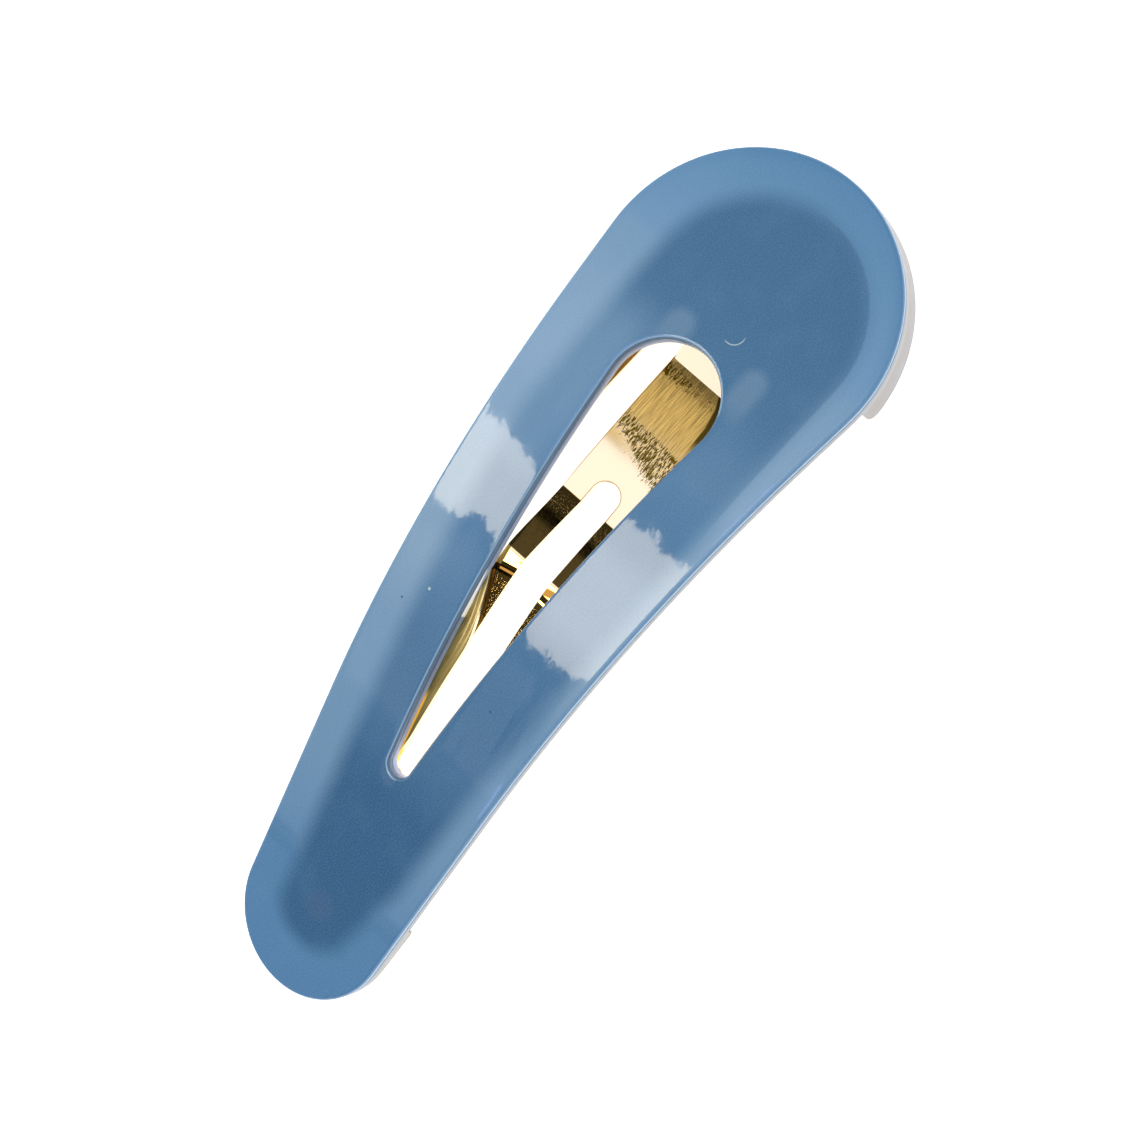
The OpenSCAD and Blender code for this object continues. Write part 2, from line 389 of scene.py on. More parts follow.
def frame_shadow(finish, u, v):
    """How far inside the steel's soft outline a place on the face is, in mm."""
    middle = finish.along(u, (-30, -0.05), (-24, -0.6), (-15, -0.7), (-9.4, -1.0), (9.5, -0.67),
                          (24, -0.87))
    half = finish.along(u, (-30, 3.15), (-24, 4.3), (-15, 5.3), (-9.4, 6.2), (9.5, 8.33),
                        (24, 8.53))
    past_wide = (u - WIDE_U).above(0)
    past_narrow = (NARROW_U - u).above(0) * 1.3
    return half - distance(past_wide, past_narrow, v - middle)


def slot_light(u, v, v0, v1):
    """Light of an opening beside the tongue, seen through the face."""
    middle, half = (v0 + v1) / 2, (v1 - v0) / 2
    past = (u - (BAY_END + 0.1 - half)).above(0)
    return (half - distance(past, v - middle)).step(-0.5, 0.5)


def legs_painted_light(u, v):
    """Share of painted light by which the face pales along the two legs beside the window."""
    beside_crimp = abs(u - 2.5).step(5.0, 2.0)
    far_leg = v.step(1.0, 5.5) * u.step(-8.0, 6.0) * u.step(22.0, 17.0) * (1 - beside_crimp * 0.7)
    near_leg = beside_crimp * 0.3 + u.step(6.0, 12.0) * u.step(20.0, 14.0) * 0.13
    return far_leg * 0.42 + near_leg * v.step(-1.5, -4.0)


def face_colour(finish, u, v):
    """Blue of the face: painted shade over the steel, painted light at the rim, the legs and the
    openings.
    """
    inside = frame_shadow(finish, u, v)
    crisp = v.step(1.0, -2.0) * u.step(8.0, 16.0) * 0.45
    over_steel = inside.step(-1.1, 1.1) * (1 - crisp) + inside.step(-0.12, 0.12) * crisp
    colour = finish.mix(rim_light_tone(finish, u), steel_shade_tone(finish, u), over_steel)
    colour = finish.lay(colour, (150, 178, 206), legs_painted_light(u, v))
    slots = slot_light(u, v, 1.44, 3.67).above(slot_light(u, v, -5.56, -3.56))
    colour = finish.lay(colour, (113, 142, 171), slots * u.step(17.0, 19.5) * 0.8)
    # Painted shadow of the narrow foot's inner end, seen through the face.
    foot_shadow_band = band(u, -27.9, -25.6, 0.7) * inside.step(0.2, -1.0)
    colour = finish.lay(colour, (84, 123, 162), foot_shadow_band * 0.45)
    return finish.lay(colour, (86, 106, 140), speck(u, v, (-29.0, -0.1), 1.5) * 0.35)


def face_grain(finish, colour, u, v):
    """Clouds and grain in the plastic."""
    cloud = finish.noise(finish.join(u * 0.22, v * 0.3, 0.0), 3.0)
    colour = finish.lay(colour, (122, 162, 196), (cloud - 0.5).above(0) * 0.4)
    grain = finish.noise(finish.join(u * 9.0, v * 9.0, 0.0), 2.0)
    colour = finish.lay(colour, (150, 185, 215), (grain - 0.45).above(0) * 0.5)
    return finish.lay(colour, (40, 75, 110), (0.5 - grain).above(0) * 0.6)


def face_marks(finish, colour, u, v):
    """A curved scratch, a white speck and two pits."""
    marks = arc_mark(u, v, (22.8, -1.01), 0.84, 0.07).above(speck(u, v, (-4.7, 5.1), 0.14))
    colour = finish.lay(colour, (205, 220, 235), marks * 0.8)
    pits = speck(u, v, (-8.5, -3.9), 0.13).above(speck(u, v, (-6.5, 6.5), 0.12))
    return finish.lay(colour, (40, 70, 105), pits * 0.7)


def cover_wall(finish, u, v, depth, by_window):
    """Side of the cover: a painted light band low at the outline, a painted highlight line on the
    window's far side.
    """
    outer = finish.painted(depth, (0.05, 112, 148, 186), (0.24, 120, 156, 192),
                           (0.34, 176, 202, 228), (0.44, 178, 202, 226), (0.51, 126, 134, 162))
    far = finish.painted(depth, (0.01, 110, 148, 180), (0.03, 164, 188, 212),
                         (0.055, 164, 188, 212), (0.08, 112, 136, 162), (0.3, 122, 144, 168),
                         (0.5, 140, 154, 178))
    near = finish.painted(depth, (0.01, 100, 134, 166), (0.08, 92, 118, 146), (0.5, 100, 120, 148))
    far_side = (v + (u - 15.0).above(0) * 1.5).step(-0.6, 0.6)
    return finish.mix(outer, finish.mix(near, far, far_side), by_window)


def leg_warp(finish, u, v):
    """Slight unevenness of the two legs beside the window, in mm."""
    far = finish.along(v, (0.3, 0.0), (2.2, 0.3), (4.5, 0.27), (6.5, 0.16), (8.0, 0.11),
                       (11, 0.09))
    far = far * (1 - abs(u - 4.6).step(0.0, 10.0))
    near = finish.along(v, (-8.0, 0.27), (-5.5, 0.38), (-3.5, 0.38), (-0.3, 0.3))
    near = v.step(-0.3, -2.2) * (u.step(6.5, -9.0) - u.step(-12.0, -28.0)) * near
    return far + near


def face_relief(finish, u, v):
    """Waves of the face in mm, strongest beside the window."""
    beside = abs(u - 3.0).step(20.0, 12.0)
    fine = finish.noise(finish.join(u * 0.5, v * 1.2, 0.0), 2.0) * 0.014
    broad = finish.noise(finish.join(u * 0.16, v * 0.45, 3.0), 1.0) * 0.05
    return (fine + broad) * (beside * 0.8 + 0.2) + leg_warp(finish, u, v)


def face_finish():
    finish = Finish("glossy blue face")
    u, v, depth = finish.attribute("sheet")
    _, from_window, _ = finish.attribute("edges")
    _, outward, _ = finish.direction()
    by_window = from_window.step(0.5, 0.35)
    colour = face_grain(finish, face_colour(finish, u, v), u, v)
    colour = face_marks(finish, colour, u, v)
    wall = cover_wall(finish, u, v, depth, by_window)
    below_rim = depth.step(0.04 - by_window * 0.035, 0.14 - by_window * 0.12)
    colour = finish.mix(colour, wall, below_rim)
    # Painted highlight on the rounded top edge where it faces the far side.
    far_outline_highlight = outward.step(0.6, 0.85) * depth.step(0.05, 0.12) * (1 - by_window)
    colour = finish.lay(colour, (178, 203, 230), far_outline_highlight)
    normal = finish.bump(face_relief(finish, u, v))
    return finish.done(Base_Color=colour, Roughness=0.06, IOR=1.5, Normal=normal)


# Finish of the backing

BLACK = [0.0, 0.0, 0.0]
CREAM_GLINT = [0.62, 0.57, 0.45]


def backing_finish():
    """Pale plastic with painted light and shade: greyer in the window's wall, warmer at outline
    and feet.
    """
    finish = Finish("pale moulded plastic")
    u, v, depth = finish.attribute("sheet")
    _, from_window, _ = finish.attribute("edges")
    by_window = from_window.step(0.3, 0.15)
    # Depth tones paint light and shade: darker just under the cover, lighter lower down, a
    # highlight band near 1.24 mm.
    inner = finish.painted(depth, (0.55, 130, 140, 166), (0.68, 176, 186, 206),
                           (1.25, 196, 200, 210))
    outer = finish.painted(depth, (0.55, 126, 129, 144), (0.68, 158, 162, 168),
                           (1.1, 167, 165, 162), (1.24, 190, 178, 162), (1.45, 173, 162, 151),
                           (2.8, 171, 159, 150), (3.4, 158, 153, 148))
    cloud = finish.noise(finish.join(u * 0.5, v * 0.5, depth * 0.8), 3.0)
    colour = finish.mix(outer, inner, by_window)
    colour = finish.lay(colour, (176, 182, 196), (cloud - 0.45).above(0) * 0.8)
    # Painted glint on the window's wall and a painted glow of 0.12 of the colour, both given as
    # emission.
    glint = u.step(-4.95, -4.8) * (u * 0.17 + depth).step(0.45, 0.39) * v.step(0.5, 1.0)
    glow = finish.mix(finish.mix(BLACK, colour, 0.12), CREAM_GLINT, glint * by_window)
    grain = finish.noise(finish.join(u * 3.0, v * 3.0, depth * 3.0), 2.0)
    return finish.done(Base_Color=colour, Roughness=0.3 + grain * 0.1, IOR=1.48,
                       Emission_Color=glow, Emission_Strength=1.0,
                       Normal=finish.bump(grain * 0.004))


# Finishes of the steel

GILT = [0.9, 0.585, 0.165]
HALF_GILT = [0.45, 0.2925, 0.0825]
# Painted shade of the crimp.
CRIMP_SHADE = [0.09, 0.0585, 0.0165]
DARK_GILT = [0.09, 0.06, 0.008]
SPECK = [0.13, 0.075, 0.002]
# Painted shade along the crease below the crimp.
CREASE_SHADE = [0.08, 0.045, 0.012]
BROWN_EDGE = [0.32, 0.13, 0.015]
CUT_EDGE = [0.98, 0.92, 0.72]
ORANGE_GLOW = [0.5, 0.22, 0.01]


def cut_wall(finish):
    """1 on the steel's cut edges, 0 on its faces."""
    _, across, _ = finish.direction()
    return abs(across).step(0.35, 0.7)


def leg_finish():
    """Gilt steel of the frame, duller where the legs draw together, with painted reflections
    there.
    """
    finish = Finish("gilt steel of the legs")
    u, v, depth = finish.attribute("sheet")
    brush = finish.noise(finish.join(u * 0.5, v * 9.0, depth * 3.0), 3.0, 0.6)
    fleck = finish.noise(finish.join(u * 4.0, v * 7.0, depth * 3.0), 2.0)
    cut = cut_wall(finish)
    # Where the legs draw together the steel is duller, and its olive colour is a painted dim
    # reflection.
    duller_with_dim_reflection = u.step(0.5, -1.0) * u.step(-24.0, -20.0)
    olive_reflection = finish.mix(paint(172, 146, 84), paint(140, 116, 58), brush.step(0.35, 0.65))
    colour = finish.mix(GILT, olive_reflection, duller_with_dim_reflection)
    edge = u.step(*BAY_NARROWS) * (BAY_HALF - SLIT_HALF) + SLIT_HALF
    inset = abs(v - STEEL_SWAY) - edge + (fleck - 0.5) * 0.14
    # Painted highlights along the rounded edges of the slit.
    edge_highlights = band(inset, 0.02, 0.16, 0.04).above(band(inset, 0.38, 0.5, 0.04)) * u.step(-8.0, -5.5)
    colour = finish.lay(colour, (226, 200, 132), edge_highlights * duller_with_dim_reflection)
    colour = finish.mix(colour, CUT_EDGE, cut)
    # Painted orange bounced light in the narrow gap, also given as emission.
    orange_bounce = u.step(-10.6, -11.8) * (v - u * 0.085).step(2.2, 2.34)
    colour = finish.lay(colour, (240, 172, 50), orange_bounce)
    shine = 1 - duller_with_dim_reflection * (1 - cut) * (0.65 + orange_bounce * 0.3)
    relief = brush * 0.0008 + fleck * 0.0006
    return finish.done(Base_Color=colour, Metallic=shine, Roughness=0.07 + duller_with_dim_reflection * 0.2,
                       Emission_Color=finish.mix(BLACK, ORANGE_GLOW, orange_bounce),
                       Emission_Strength=1.0, Normal=finish.bump(relief))


def speck_and_reflection_bands(u, v):
    """Two bands of the blade where the grinding breaks up into specks, crowded to paint a dark
    reflection.
    """
    place = u - v * 0.08 - 13.2
    low = (place - v * 0.35 + 1.6).step(-1.0, 0.3) * place.step(0.9, 0.1)
    high = abs(u - 18.0).step(0.95, 0.2) * (v * 0.14 + 0.62)
    return low.above(high)


def blade_shade(finish, u, v):
    """Dark strip along the blade's near edge."""
    edge = finish.along(u, (14.5, -2.3), (16.5, -2.2), (18.0, -1.85), (18.7, -1.5), (19.2, -1.2))
    return (edge - v).step(-0.05, 0.12) * u.step(14.0, 15.5)


def tongue_rim(finish, u, v):
    """Thin line along the edges of the blade and of the slot's wide end."""
    past_end = (u - SLOT_WIDE[0]).above(0)
    from_slot = distance(past_end, v) - finish.along(u, (0.0, SLOT_NARROW[1]), SLOT_WIDE)
    rim = (BLADE_HALF - abs(v)).below(from_slot.above(0)).step(0.08, 0.04)
    return rim * u.step(5.8, 6.4)


def tongue_finish():
    """Gilt steel of the tongue: ground across its broad part, pitted on its prongs."""
    finish = Finish("gilt steel of the tongue")
    u, across, depth = finish.attribute("sheet")
    v = across - STEEL_SWAY
    streaks = finish.noise(finish.join(u * 0.45, v * 11.0, depth), 4.0, 0.65)
    fleck = finish.noise(finish.join(u * 2.6, v * 10.0, depth * 3.0), 3.0, 0.62)
    dots = finish.noise(finish.join(u * 7.0, v * 12.0, depth * 3.0), 2.0, 0.6)
    below_root = u.step(19.1, 19.0)
    ground = u.step(12.6, 13.6) * below_root
    specks_and_reflection = speck_and_reflection_bands(u, v)
    crimp = u.step(0.98, 1.04) * u.step(6.6, 6.0)
    colour = finish.mix(GILT, HALF_GILT, streaks.step(0.36, 0.68) * ground)
    specks = (fleck - (0.7 - specks_and_reflection * 0.26)).step(-0.01, 0.08)
    colour = finish.mix(colour, SPECK, specks * u.step(9.5, 10.5))
    colour = finish.mix(colour, DARK_GILT, blade_shade(finish, u, v) * ground)
    # Painted shade darkening the crimp.
    colour = finish.mix(colour, CRIMP_SHADE, crimp * u.step(5.4, 4.4))
    # Painted shade along the crease below the crimp, which tones down its reflection.
    colour = finish.mix(colour, CREASE_SHADE, band(u + (v - 2.3) * 0.22, -0.9, -0.2, 0.1))
    colour = finish.mix(colour, BROWN_EDGE, tongue_rim(finish, u, v) * 0.85)
    colour = finish.mix(colour, CUT_EDGE, cut_wall(finish))
    pitted = u.step(-0.8, -1.2) * (u.step(-1.5, -6.0) * 0.005 + 0.0009) + crimp * 0.0015
    relief = across * 0.12 + streaks * ground * 0.0012 + fleck * 0.0003
    relief = relief + fleck * specks_and_reflection * below_root * 0.003 + dots.step(0.58, 0.7) * pitted
    return finish.done(Base_Color=colour, Metallic=1.0, Roughness=0.06 + ground * 0.05,
                       Normal=finish.bump(relief))


def rivet_finish():
    finish = Finish("worn gilt rivet")
    u, v, depth = finish.attribute("sheet")
    wear = finish.noise(finish.join(u * 1.6, v * 1.6, depth * 1.6), 3.0)
    colour = finish.mix([0.72, 0.5, 0.26], [0.5, 0.3, 0.2], wear.step(0.4, 0.65))
    return finish.done(Base_Color=colour, Metallic=1.0, Roughness=0.2 + wear * 0.2,
                       Normal=finish.bump(wear * 0.01))


def table_finish():
    finish = Finish("pale table")
    place = finish.node("ShaderNodeTexCoord", out="Object")
    grain = finish.noise(place, 2.0)
    colour = finish.mix([0.86, 0.87, 0.88], [0.9, 0.9, 0.9], grain)
    return finish.done(Base_Color=colour, Roughness=0.6, Emission_Color=[1, 1, 1, 1],
                       Emission_Strength=0.8)


# The arch

ARCH_INPUTS = (("Arch radius", ARCH_R), ("Wide bend", BEND_WIDE), ("Narrow bend", BEND_NARROW),
               ("Rest turn", REST_TURN), ("Rest middle", REST_MIDDLE),
               ("Rest height", REST_HEIGHT))


def arch_tree():
    """Arches a flat piece, stands it on the table and gives it its finish."""
    group = bpy.data.node_groups.new("arch a flat piece", "GeometryNodeTree")
    sockets = group.interface
    sockets.new_socket("Geometry", in_out="INPUT", socket_type="NodeSocketGeometry")
    for name, value in ARCH_INPUTS:
        socket = sockets.new_socket(name, in_out="INPUT", socket_type="NodeSocketFloat")
        socket.default_value = value
    sockets.new_socket("Material", in_out="INPUT", socket_type="NodeSocketMaterial")
    sockets.new_socket("Geometry", in_out="OUTPUT", socket_type="NodeSocketGeometry")
    tree = Tree(group)
    inputs = tree.add("NodeGroupInput")
    given = {out.name: Sock(tree, out) for out in inputs.outputs if out.name}
    flat = tree.node("GeometryNodeInputPosition")
    u, v, z = tree.split(flat)
    radius, turn = given["Arch radius"], given["Rest turn"]
    on_arch = u.above(given["Narrow bend"]).below(given["Wide bend"])
    angle = on_arch / radius
    run = u - on_arch
    x = (radius + z) * angle.sin() + run * angle.cos()
    up = (radius + z) * angle.cos() - radius - run * angle.sin()
    rest_x = x * turn.cos() + up * turn.sin() - given["Rest middle"]
    rest_z = (up * turn.cos() - x * turn.sin() - given["Rest height"]).above(0)
    place = tree.join(rest_x * MM, v * MM, rest_z * MM)
    kept = tree.node("GeometryNodeStoreNamedAttribute", {"data_type": "FLOAT_VECTOR"},
                     {"Geometry": given["Geometry"], "Name": "sheet",
                      "Value": tree.join(u, v, -z)})
    bent = tree.node("GeometryNodeSetPosition", {}, {"Geometry": kept, "Position": place})
    real = tree.node("GeometryNodeRealizeInstances", {}, {"Geometry": bent})
    dressed = tree.node("GeometryNodeSetMaterial", {}, {"Geometry": real,
                                                        "Material": given["Material"]})
    tree.add("NodeGroupOutput", {}, {"Geometry": dressed})
    return group


# Flat meshes


class Shape:
    """Points and faces of a flat piece, gathered from one or more parts."""

    def __init__(self):
        self.points = []
        self.faces = []

    def loft(self, rows, ring=False, tube=False, flip=False):
        """Skin through rows of points; ring closes each row, tube joins the last to the first."""
        start, count, width = len(self.points), len(rows), len(rows[0])
        self.points += [point for row in rows for point in row]
        for i in range(count if tube else count - 1):
            for j in range(width if ring else width - 1):
                a, b = i * width + j, i * width + (j + 1) % width
                c, d = (i + 1) % count * width + (j + 1) % width, (i + 1) % count * width + j
                face = (a, d, c, b) if flip else (a, b, c, d)
                self.faces.append([start + k for k in face])
        return self

    def mesh(self, name, closed):
        mesh = bpy.data.meshes.new(name)
        mesh.from_pydata(self.points, [], self.faces)
        form = bmesh.new()
        form.from_mesh(mesh)
        bmesh.ops.remove_doubles(form, verts=form.verts, dist=1e-4)
        bmesh.ops.dissolve_degenerate(form, edges=form.edges, dist=1e-5)
        if closed:
            open_edges = [edge for edge in form.edges if edge.is_boundary]
            bmesh.ops.holes_fill(form, edges=open_edges, sides=0)
            bmesh.ops.recalc_face_normals(form, faces=form.faces)
        form.to_mesh(mesh)
        form.free()
        return mesh


def drop_inset(u, v, drop):
    """Distance from a place inwards to the edge of a drop shape."""
    wide_u, wide_r, narrow_u, narrow_r = drop
    x, y, length = wide_u - u, abs(v), wide_u - narrow_u
    lean = math.asin((wide_r - narrow_r) / length)
    run = x * math.cos(lean) - y * math.sin(lean)
    if run < 0:
        return wide_r - math.hypot(x, y)
    if run > length * math.cos(lean):
        return narrow_r - math.hypot(x - length, y)
    return wide_r - x * math.sin(lean) - y * math.cos(lean)


def drop_stations():
    """Places round a drop shape: share of the way from the wide end, and the edge's angle."""
    turn = math.pi / 2 + LEAN
    stations = [(0, a) for a in span(-turn, turn, STATIONS_WIDE)][:-1]
    stations += [(t, turn) for t in span(0, 1, STATIONS_SIDE)][:-1]
    stations += [(1, a) for a in span(turn, 2 * math.pi - turn, STATIONS_NARROW)][:-1]
    stations += [(t, -turn) for t in span(1, 0, STATIONS_SIDE)][:-1]
    return stations


def drop_point(drop, station, inset=0.0):
    wide_u, wide_r, narrow_u, narrow_r = drop
    share, angle = station
    reach = lerp(wide_r, narrow_r, share) - inset
    return lerp(wide_u, narrow_u, share) + reach * math.cos(angle), reach * math.sin(angle)


def band_row(share, from_window, from_edge, depth):
    """Closed line round the band between the window and the outline."""
    row = []
    for station in drop_stations():
        u0, v0 = drop_point(WINDOW, station, -from_window)
        u1, v1 = drop_point(OUTLINE, station, from_edge)
        row.append((lerp(u0, u1, share), lerp(v0, v1, share), -depth))
    return row


def rounded(radius, steps):
    """Points of a quarter round as (inset, drop), from the wall over to the top."""
    return [(radius * (1 - math.cos(a)), radius * (1 - math.sin(a)))
            for a in span(0, math.pi / 2, steps)]


def plate_rows(top, bottom, top_r, bottom_r, across):
    """Closed section of a layer of the plastic, carried round the band."""
    rows = []
    for inset, drop in rounded(top_r, 6):
        rows.append(band_row(0, inset, top_r, top + drop))
    for share in span(0, 1, across)[1:-1]:
        rows.append(band_row(share, top_r, top_r, top))
    for inset, drop in reversed(rounded(top_r, 6)):
        rows.append(band_row(1, top_r, inset, top + drop))
    for inset, drop in rounded(bottom_r, 3):
        rows.append(band_row(1, bottom_r, inset, bottom - drop))
    for share in (0.75, 0.5, 0.25):
        rows.append(band_row(share, bottom_r, bottom_r, bottom))
    for inset, drop in reversed(rounded(bottom_r, 3)):
        rows.append(band_row(0, inset, bottom_r, bottom - drop))
    return rows


def cover_shape():
    plate = plate_rows(0, COVER_T, top_r=0.3, bottom_r=0.05, across=18)
    return Shape().loft(plate, ring=True, tube=True)


def corner_cut(u, end, way, depth, radius):
    """Depth of a foot's underside near its rounded inner corner."""
    run = min(max((u - end) * way, 0), radius)
    return depth - radius + math.sqrt(radius ** 2 - (radius - run) ** 2)


def toward(start, end, share):
    return lerp(start[0], end[0], share), lerp(start[1], end[1], share)


def foot_row(middle, seat, outer, floor_depth, underside):
    """Section of a foot from the middle of its seat, over its rim, to its top."""
    row = []
    for place in (middle, toward(middle, seat, 0.5), seat):
        row.append((*place, -min(floor_depth, underside(place[0]))))
    seat_low = underside(seat[0])
    row.append((*seat, -max(seat_low - SEAT_STEP, min(floor_depth, seat_low))))
    width = math.dist(seat, outer)
    for share in (0.1 / width, 0.35, 0.7):
        place = toward(seat, outer, share)
        row.append((*place, -underside(place[0])))
    for inset, drop in reversed(rounded(FOOT_RIM_R, 4)):
        place = toward(outer, seat, inset / width)
        row.append((*place, drop - underside(place[0])))
    rim_top = underside(outer[0]) - FOOT_RIM_R
    row += [(*outer, -lerp(rim_top, FOOT_TOP, 0.5)), (*outer, -FOOT_TOP), (*middle, -FOOT_TOP)]
    return row


def wide_foot_stations():
    seat_r, outer_r = FRAME_WIDE_R + SEAT_GAP, WIDE_R - FOOT_STEP
    near = [math.acos(x / 10) for x in (1.6, 1.2, 0.9, 0.65, 0.45, 0.3, 0.17, 0.07, 0.0)]
    half = span(0, near[0], 28)[:-1] + near
    angles = [-a for a in reversed(half[1:])] + half
    stations = []
    for a in angles:
        stations.append(((WIDE_U, 0), (WIDE_U + seat_r * math.cos(a), seat_r * math.sin(a)),
                         (WIDE_U + outer_r * math.cos(a), outer_r * math.sin(a))))
    for way, place in ((1, 0), (-1, len(stations) + 1)):
        end = ((WIDE_FOOT_END, 0), (WIDE_FOOT_END, -way * seat_r), (WIDE_FOOT_END, -way * outer_r))
        stations.insert(place, end)
    return stations


def narrow_foot_stations():
    seat_r, outer_r = FRAME_NARROW_R + SEAT_GAP, NARROW_R - FOOT_STEP
    turn = math.pi / 2 + LEAN
    upper = []
    for run in (0, 0.03, 0.09, 0.17, 0.28, 0.4, 0.5, 1.0, 1.8):
        u = NARROW_FOOT_END - run
        grown = (u - NARROW_U + outer_r * math.sin(LEAN)) * math.tan(LEAN)
        seat = (u, seat_r + SEAT_SPARE + grown * 0.6)
        upper.append(((u, 0), seat, (u, outer_r * math.cos(LEAN) + grown)))
    for a in span(turn, math.pi, 22):
        ease = (math.pi - a) / (math.pi - turn)
        seat = (NARROW_U + seat_r * math.cos(a), (seat_r + SEAT_SPARE * ease) * math.sin(a))
        outer = (NARROW_U + outer_r * math.cos(a), outer_r * math.sin(a))
        upper.append(((NARROW_U, 0), seat, outer))
    lower = [tuple((u, -v) for u, v in station) for station in reversed(upper[:-1])]
    return upper + lower


def wide_underside(u):
    return corner_cut(u, WIDE_FOOT_END, 1, WIDE_FOOT_DEPTH, FOOT_CORNER_R)


def narrow_underside(u):
    run = (NARROW_FOOT_END - u) / (NARROW_FOOT_END + HALF_LEN)
    depth = lerp(NARROW_FOOT_DEPTH, NARROW_TIP_DEPTH, run)
    return corner_cut(u, NARROW_FOOT_END, -1, depth, FOOT_CORNER_R / 2)


def backing_shape():
    """The plate under the face, and the two feet below it."""
    plate = plate_rows(BACKING_TOP, BACKING_BOTTOM, top_r=0.05, bottom_r=0.12, across=10)
    shape = Shape().loft(plate, ring=True, tube=True)
    wide_floor, narrow_floor = FRAME_WIDE_DEPTH - FLOOR_GAP, FRAME_NARROW_DEPTH - FLOOR_GAP
    shape.loft([foot_row(*s, wide_floor, wide_underside) for s in wide_foot_stations()], ring=True)
    shape.loft([foot_row(*s, narrow_floor, narrow_underside) for s in narrow_foot_stations()],
               ring=True)
    return shape


def frame_depth(u):
    """Depth of the frame's upper side: even at first, then growing to the wide end."""
    share = min(max((u - FRAME_TURN) / (BEND_WIDE - FRAME_TURN), 0), 1)
    return lerp(FRAME_NARROW_DEPTH, FRAME_WIDE_DEPTH, share * share)


def frame_half(u):
    """Half width of the frame."""
    wide_lean = math.atan((FRAME_WIDE_R - SHOULDER[1]) / (WIDE_U - SHOULDER[0]))
    narrow_lean = math.atan((SHOULDER[1] - FRAME_NARROW_R) / (SHOULDER[0] - NARROW_U))
    wide_join = WIDE_U - FRAME_WIDE_R * math.sin(wide_lean)
    narrow_join = NARROW_U - FRAME_NARROW_R * math.sin(narrow_lean)
    if u > wide_join:
        return math.sqrt(max(FRAME_WIDE_R ** 2 - (u - WIDE_U) ** 2, 0))
    if u < narrow_join:
        return math.sqrt(max(FRAME_NARROW_R ** 2 - (u - NARROW_U) ** 2, 0))
    if u > SHOULDER[0]:
        t = (u - SHOULDER[0]) / (wide_join - SHOULDER[0])
        return lerp(SHOULDER[1], FRAME_WIDE_R * math.cos(wide_lean), t)
    t = (u - narrow_join) / (SHOULDER[0] - narrow_join)
    return lerp(FRAME_NARROW_R * math.cos(narrow_lean), SHOULDER[1], t)


def bay_half(u):
    """Half width of the opening between the legs."""
    corner = u - (BAY_END - BAY_CORNER_R)
    if corner > 0:
        return BAY_HALF - BAY_CORNER_R + math.sqrt(max(BAY_CORNER_R ** 2 - corner ** 2, 0))
    slit_end = u - WINDOW[2]
    if slit_end < 0:
        return math.sqrt(max(SLIT_HALF ** 2 - slit_end ** 2, 0))
    return eased(u, *BAY_NARROWS, SLIT_HALF, BAY_HALF)


def leg_spare(u, way):
    """How much farther out a leg's inner edge lies than a true slit's."""
    if way < 0:
        return eased(abs(u + 6), 4, 8, 0.3, 0)
    return eased(u, -7, -4, -0.15, 0) * eased(u, WINDOW[2], WINDOW[2] + 2, 0, 1)


def sheet_row(u, v0, v1, depth, columns=8):
    """Row of points across the steel, which sits a little to the near side between the feet."""
    sway = eased(abs(u), *SWAY_FADE, STEEL_SWAY, 0)
    return [(u, v + sway, -depth) for v in span(v0, v1, columns)]


def round_places(start, end, steps):
    """Places that crowd towards the end, for a round tip."""
    return [lerp(start, end, math.sin(a)) for a in span(0, math.pi / 2, steps)]


def frame_shape():
    shape = Shape()
    tip, narrow_tip = WIDE_U + FRAME_WIDE_R, NARROW_U - FRAME_NARROW_R
    slit_end = WINDOW[2] - SLIT_HALF
    legs = round_places(BAY_END - BAY_CORNER_R, BAY_END, 6)
    legs = legs[::-1] + span(BAY_END - BAY_CORNER_R, WINDOW[2], 90)[1:]
    legs += round_places(WINDOW[2], slit_end, 6)[1:]
    closed = span(slit_end, NARROW_U, 16)[1:] + round_places(NARROW_U, narrow_tip, 10)[1:]
    wide = round_places(BAY_END, tip, 22)[::-1]
    shares = bay_half(BAY_END) / frame_half(BAY_END)
    for way in (1, -1):
        outer = [sheet_row(u, way * shares * frame_half(u), way * frame_half(u), frame_depth(u))
                 for u in wide]
        outer += [sheet_row(u, way * (bay_half(u) + leg_spare(u, way)), way * frame_half(u),
                            frame_depth(u)) for u in legs[1:]]
        outer += [sheet_row(u, 0, way * frame_half(u), frame_depth(u)) for u in closed]
        shape.loft(outer, flip=way > 0)
    inner = [sheet_row(u, -shares * frame_half(u), shares * frame_half(u), frame_depth(u),
                       columns=12) for u in wide]
    shape.loft(inner, flip=True)
    return shape


BLADE_LINE = ((19.0, 4.22), (17.6, 4.17), (16.0, 4.1), (13.9, 3.99), (12.2, 3.89), (10.0, 3.72),
              (8.2, 3.57), (6.6, 3.43))
CRIMP_LINE = ((6.6, 3.43), (0.92, 1.95), (0.0, 1.875), (-0.42, 1.92), (-0.62, 1.915))
PRONG_SAG = 0.035
PRONG_SAG_RUN = 7
ROOT_RISE = 0.08
WAIST = 0.06
WAIST_RUN = 7.5


def through(points, u):
    """Smooth line through points whose first numbers fall."""
    for i in range(len(points) - 1):
        (u1, d1), (u2, d2) = points[i], points[i + 1]
        if u >= u2:
            break
    u0, d0 = points[max(i - 1, 0)]
    u3, d3 = points[min(i + 2, len(points) - 1)]
    rise1, rise2 = (d2 - d0) / (u2 - u0), (d3 - d1) / (u3 - u1)
    step = u2 - u1
    t = (u - u1) / step
    start, end = (1 + 2 * t) * (1 - t) ** 2, t * t * (3 - 2 * t)
    return start * d1 + end * d2 + step * (t * (1 - t) ** 2 * rise1 - t * t * (1 - t) * rise2)


